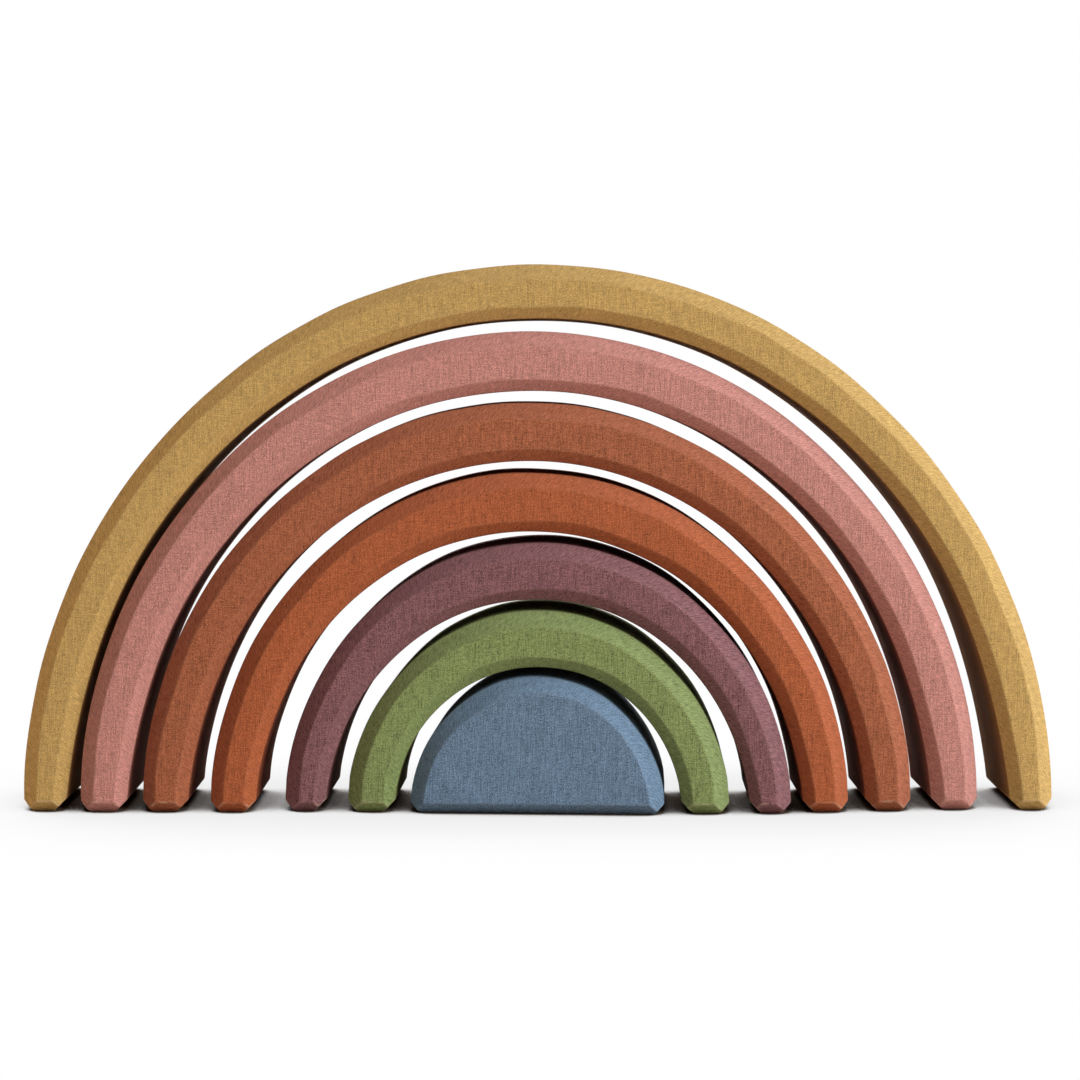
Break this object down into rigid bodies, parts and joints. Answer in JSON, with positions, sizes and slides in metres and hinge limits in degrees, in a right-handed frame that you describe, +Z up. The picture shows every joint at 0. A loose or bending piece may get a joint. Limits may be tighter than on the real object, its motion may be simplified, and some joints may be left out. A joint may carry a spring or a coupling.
{
  "type": "rainbow stacker",
  "caption": "Wooden rainbow stacking toy: loose chamfered arches in muted stains nested over a solid half disc.",
  "frame": {"origin": "middle of the half disc's bottom face, on the table", "axes": "+X along the table from the left feet to the right feet seen from the front, +Y from the front towards the back, +Z up"},
  "size_m": [0.2811, 0.0477, 0.1482],
  "materials": {
    "blue_stain": "matte translucent stain over fine sanded hardwood, oiled",
    "green_stain": "matte translucent stain over fine sanded hardwood, oiled",
    "plum_stain": "matte translucent stain over fine sanded hardwood, oiled",
    "orange_stain": "matte translucent stain over fine sanded hardwood, oiled",
    "terracotta_stain": "matte translucent stain over fine sanded hardwood, oiled",
    "pink_stain": "matte translucent stain over fine sanded hardwood, oiled",
    "mustard_stain": "matte translucent stain over fine sanded hardwood, oiled"
  },
  "bodies": {
    "core": {"blue_half_disc": "blue_stain"},
    "green_arch": {"green_arch": "green_stain"},
    "plum_arch": {"plum_arch": "plum_stain"},
    "orange_arch": {"orange_arch": "orange_stain"},
    "terracotta_arch": {"terracotta_arch": "terracotta_stain"},
    "pink_arch": {"pink_arch": "pink_stain"},
    "mustard_arch": {"mustard_arch": "mustard_stain"}
  },
  "joints": [
    {"name": "green_arch_slide", "type": "slide", "parent": "core", "child": "green_arch", "axis": [0, -1, 0], "range_m": [-0.055, 0.055]},
    {"name": "plum_arch_slide", "type": "slide", "parent": "core", "child": "plum_arch", "axis": [0, -1, 0], "range_m": [-0.055, 0.055]},
    {"name": "orange_arch_slide", "type": "slide", "parent": "core", "child": "orange_arch", "axis": [0, -1, 0], "range_m": [-0.055, 0.055]},
    {"name": "terracotta_arch_slide", "type": "slide", "parent": "core", "child": "terracotta_arch", "axis": [0, -1, 0], "range_m": [-0.055, 0.055]},
    {"name": "pink_arch_slide", "type": "slide", "parent": "core", "child": "pink_arch", "axis": [0, -1, 0], "range_m": [-0.055, 0.055]},
    {"name": "mustard_arch_slide", "type": "slide", "parent": "core", "child": "mustard_arch", "axis": [0, -1, 0], "range_m": [-0.055, 0.055]}
  ]
}
